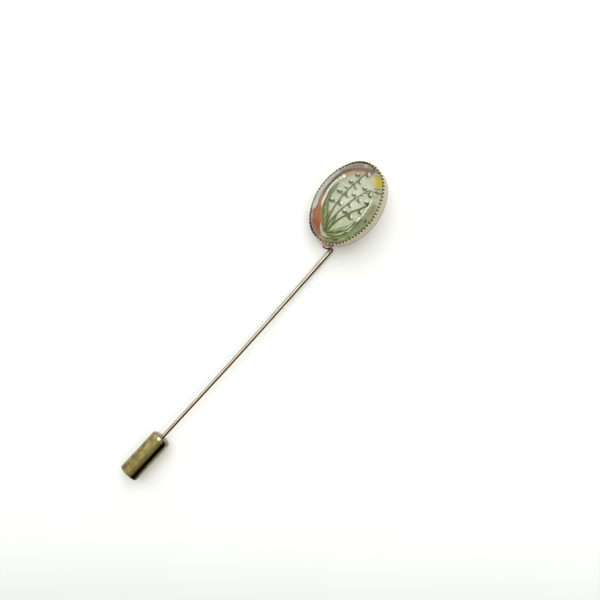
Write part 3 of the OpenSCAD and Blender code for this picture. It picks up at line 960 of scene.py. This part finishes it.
# %% Drawn wire
def wire_metal(place):
    stretched = place.node("ShaderNodeMapping", None, {"Vector": place, "Scale": (1, 0.08, 1)})
    drawn_marks = stretched.mottle(0.00018, 2)
    worn = place.mottle(0.004, 3, 0.6).rise(0.42, 0.66)
    loop = (place.part("X") / MM).rise(bend_at.x - 0.6, bend_at.x - 1.5)
    # the loop is kept out of the painted dark reflection on the right side
    side = place.mark("rightwards") - 0.8 * loop
    clean = loop.blend(worn.blend(linear(142, 134, 122), linear(128, 115, 98)), linear(236, 202, 170))
    # painted highlight: a pale line along the top of the wire
    top_highlight = (side.band(-0.32, 0.0, 0.08) * 0.8).blend(clean, linear(222, 214, 198))
    return {
        # painted dark reflection: brown on the side that faces right
        "Base Color": side.rise(-0.2, 0.15).blend(top_highlight, linear(88, 62, 24)),
        "Roughness": 0.12 + 0.1 * worn + 0.05 * drawn_marks + 0.22 * loop,
        "Normal": drawn_marks.bump(0.000003, 0.5),
    }


stem_brass = finish("drawn_wire", wire_metal, Metallic=1.0)
print("wire metal is ready")

# %% Tarnished brass of the clutch
SHOULDER_GLINT = (bend_at + Vector((0.3, -53.35, 4.2))) * MM
SHOULDER_END = bend_at.y - STEM_LENGTH - SHOULDER


def olive_brass(place):
    cloud = place.mottle(0.0013, 5, 0.62).rise(0.38, 0.62)
    green = place.mottle(0.0009, 4, 0.6).rise(0.5, 0.66)
    speck = place.mottle(0.0003, 3, 0.7).rise(0.58, 0.72)
    side = place.mark("rightwards")
    shoulder = (place.part("Y") / MM).rise(SHOULDER_END - 0.1, SHOULDER_END + 0.2)
    dull_dark_band = side.band(0.17, 0.35, 0.05)
    paint = cloud.blend(linear(146, 134, 84), linear(108, 94, 57))
    for mask, colour in (
        (green * 0.7, (100, 108, 54)),
        (speck * 0.5, (86, 68, 42)),
        # painted reflections by facing: a darker band on the left, a pale band on top, a black stripe on the right
        (side.band(-0.5, -0.18, 0.06) * 0.5, (96, 82, 50)),
        (side.band(-0.08, 0.32, 0.06) * 0.25, (186, 172, 116)),
        (side.band(0.42, 0.8, 0.04) * 0.85 * (1 - shoulder), (20, 20, 12)),
        # a dark band beside the black stripe: painted reflection, and rougher metal
        (dull_dark_band * 0.8, (58, 50, 28)),
        (shoulder * 0.6, (128, 116, 100)),
        (place.near(SHOULDER_GLINT, 0.0004), (230, 226, 212)),
    ):
        paint = mask.blend(paint, linear(*colour))
    return {
        "Base Color": paint,
        "Roughness": 0.16 + 0.1 * cloud + 0.1 * speck + 0.15 * dull_dark_band,
        "Normal": (cloud * 0.6 + speck).bump(0.000004, 0.5),
    }


clutch_brass = finish("tarnished_brass", olive_brass, Metallic=1.0)
print("clutch brass is ready")

# %% [markdown]
# ## Glass
#
# Clear glass needs no pattern to look like glass: its own shader bends the light and keeps a clean highlight. An old
# stone has only a faint haze of wear on it, which roughens it a little in places, and a breath of green.


# %% Glass
def old_glass(place):
    haze = place.mottle(0.003, 3).rise(0.45, 0.8)
    return {"Roughness": 0.03 + 0.02 * haze}


glass = finish("old_glass", old_glass, Transmission_Weight=1.0, IOR=1.5, Specular_IOR_Level=0.35,
               Base_Color=(0.985, 0.995, 0.98, 1))
print("glass is ready")

# %% [markdown]
# ## The picture's ground
# The ground is painted in the head's own frame: a Mapping node turns the room's coordinates back into millimetres on
# the head. `rim` is 0 in the middle of the oval and about 1 at the stone's edge, so a soft band on it follows the
# outline. Such bands lay in the orange, browns, olive and sand along the left and the red brown at the top, and
# straight steps across the oval make the yellow patch: these are painted reflections of the gilt cup, seen through
# the stone's edge. The olive on the right is painted shade. The white edge, a white line and three glints are painted
# highlights, and the line and the glints are metal too. Such bands lay in the orange, browns and sand along the left
# and the red brown at the top, and straight
# steps across the oval make the yellow patch. A white line and three glints shine like foil, so they are metal too.

# %% Ground of the picture
WHITE = (255, 255, 250)


def ground_paint(place):
    head = on_head(place)
    x, y = head.part("X"), head.part("Y")
    waver = place.mottle(0.0015, 1) - 0.5
    rim = ((x / HALF_WIDE) ** 2 + (y / HALF_LONG) ** 2) ** 0.5 + 0.03 * waver
    outer = rim - 0.05 * (1 - y.rise(-4.8, -3.2)) - 0.02 * y.rise(1.2, 2.6)
    inner = rim - 0.03 * y.rise(-2.0, 2.0) - 0.1 * (1 - y.rise(-7.2, -5.2))
    left = 1 - x.rise(-1.2, -0.4)
    side = left * (1 - y.rise(3.4, 4.2))
    band = side * inner.rise(0.69, 0.705)
    top = y.rise(3.4, 4.2) * (1 - x.rise(-0.4, 0.3))
    upper = y.rise(-1.8, -0.4)
    lower = 1 - upper
    olive_shade_right = (0.6 * x - 0.8 * y).rise(5.1, 5.6) | (x.rise(2.85, 3.2) * (1 - y.rise(2.4, 3.4)) * 0.8)
    # painted highlights: three glints and a white line inside the left rim, made metal so they catch the light
    glints = head.near((-3.8, 3.6, 0.75), 0.42) | head.near((-4.05, 3.0, 0.75), 0.32)
    glints = glints | head.near((-1.95, 7.3, 0.75), 0.45)
    painted_highlights = (side * y.rise(-3.8, -2.6) * inner.band(0.662, 0.694, 0.012)) * (1 - y.rise(2.2, 2.8)) | glints
    paint = place.mottle(0.0008, 5, 0.7).rise(0.3, 0.7).blend(linear(214, 220, 194), linear(194, 198, 160))
    for mask, colour in (
        # olive on the right is painted shade, the olive line low on the left is painted reflection, and sand lies at
        # the foot
        (olive_shade_right, (150, 142, 84)),
        (left * (1 - y.rise(-3.2, -2.0)) * rim.band(0.6, 0.71, 0.02) * 0.9, (150, 142, 78)),
        (left * (1 - y.rise(-7.0, -6.6)), (206, 190, 140)),
        # orange low on the left, paler as it climbs, with a brown outer edge: painted reflection of the gilt cup wall
        (band * lower, (180, 66, 0)),
        (band * y.rise(-6.4, -4.9) * lower, (214, 118, 52)),
        (band * y.rise(-4.2, -2.2) * lower, (230, 168, 116)),
        (band * outer.rise(0.738, 0.768) * 0.6, (146, 80, 22)),
        # brown, grey and sand further up, as painted reflection, and the white edge, a painted highlight
        (band * upper * inner.rise(0.7, 0.72), (134, 88, 50)),
        (band * y.rise(0.8, 2.0) * inner.rise(0.7, 0.72) * 0.8, (112, 98, 66)),
        (side * y.rise(2.3, 2.9) * rim.band(0.6, 0.7, 0.02) * 0.8, (196, 176, 126)),
        (side * y.rise(-6.0, -5.0) * outer.rise(0.775, 0.79), WHITE),
        # ochre, red brown and sand round the top, as painted reflection, and the white line and glints, painted
        # highlights
        (top * rim.band(0.65, 0.76, 0.015), (204, 182, 100)),
        (top * rim.band(0.75, 0.815, 0.012), (144, 72, 0)),
        (top * rim.rise(0.815, 0.83), (190, 172, 124)),
        (painted_highlights, WHITE),
        # the yellow patch at the upper right, a painted reflection of the gilt wall, and the ochre line beside it
        ((x + y).rise(6.87, 6.99) * (x - y).band(-6.3, -3.85, 0.08), (240, 214, 10)),
        ((x + y).rise(6.6, 6.75) * (x - y).band(-3.55, -3.25, 0.06), (150, 124, 56)),
    ):
        paint = mask.blend(paint, linear(*colour))
    return {"Base Color": paint, "Roughness": 0.4 + 0.1 * waver, "Metallic": painted_highlights}


ground = finish("silvery_ground", ground_paint)
print("ground of the picture is ready")

# %% [markdown]
# ## Greens, creams and the plug
#
# The spray is painted with a few enamels. The leaves are streaked lengthwise, and paler on the right. The bells carry
# painted shade, green or brownish, at the stem end and run to cream at the mouth, by the number stored on them. The
# other paints, and the plain plug in the clutch, are two close tones in cloudy mottle, because no real coat is quite
# even.


# %% Leaves and bells
def leaf_paint(place):
    along = place.node("ShaderNodeMapping", None, {"Vector": on_head(place), "Scale": (1, 0.15, 1)})
    streak = along.mottle(0.5, 4, 0.6)
    right = on_head(place).part("X").rise(2.4, 3.0)
    green = streak.rise(0.38, 0.62).blend(linear(104, 128, 44), linear(160, 174, 100))
    return {
        "Base Color": (right * 0.75).blend(green, linear(146, 152, 104)),
        "Roughness": 0.3 + 0.2 * streak,
        "Normal": streak.bump(0.00002, 0.5),
    }


def bell_paint(place):
    tone = place.mottle(0.00035, 3)
    # painted shade, green or brownish, at the stem end of each bell, running to cream at the mouth
    shade = (place.mark("shade") + 0.3 * (tone - 0.5)).rise(0.2, 0.6)
    shaded = place.mottle(0.003, 1).rise(0.45, 0.55).blend(linear(100, 118, 46), linear(126, 100, 44))
    return {"Base Color": shade.blend(linear(255, 254, 236), shaded), "Roughness": 0.3 + 0.1 * tone}


green_leaf = finish("leaf_green", leaf_paint)
cream = finish("cream_bell", bell_paint)
print("leaf and bell paints are ready")


# %% Plain coats
def plain_coat(first, second, size, rough, step=None):
    """A paint of two close tones, with clouds about `size` metres across. step makes the clouds' edges firmer."""
    def paint(place):
        tone = place.mottle(size, 3)
        if step:
            tone = tone.rise(*step)
        return {"Base Color": tone.blend(first, second), "Roughness": rough + 0.1 * tone}
    return paint


green_stalk = finish("stalk_green", plain_coat(linear(72, 92, 14), linear(110, 128, 40), 0.0006, 0.35))
cap_green = finish("cap_green", plain_coat(linear(84, 102, 40), linear(120, 112, 50), 0.0005, 0.35, (0.4, 0.6)))
# the pale strokes are painted highlights
pale = finish("painted_highlight_stroke", plain_coat(linear(252, 252, 240), linear(232, 234, 210), 0.0005, 0.3))
plastic = finish("grip_plastic", plain_coat((0.7, 0.68, 0.6), (0.62, 0.6, 0.52), 0.001, 0.5))
print("plain coats are ready")

# %% [markdown]
# ## Put it together
#
# Each piece gets its finish, rides on the body that carries it, and stands for the solid whose place it takes.

# %% Dress the pin
METAL = ("pin", "setting_and_stem", "gilt_metal")
SPRAY = ("pin", "painted_sprig", "painted_flowers")
dressed = [
    (cup, gilt, *METAL),
    (milled_edge, teeth_brass, *METAL),
    (wire, stem_brass, *METAL),
    (solder, gilt, *METAL),
    (stone, glass, "pin", "cabochon", "clear_glass"),
    (plate, ground, "pin", "backing", "pearly_plate"),
    (stalk_work, green_stalk, *SPRAY),
    (bells, cream, *SPRAY),
    (caps, cap_green, *SPRAY),
    (stroke_work, pale, *SPRAY),
    *((leaf, green_leaf, *SPRAY) for leaf in leaves),
    (barrel, clutch_brass, "clutch", "clutch_barrel", "olive_brass"),
]
for piece, coat, body, node, slot in dressed:
    piece.data.materials.clear()
    piece.data.materials.append(coat)
    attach(piece, body)
    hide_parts(node)
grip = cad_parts["clutch_grip"]
grip.data.materials.clear()
grip.data.materials.append(plastic)
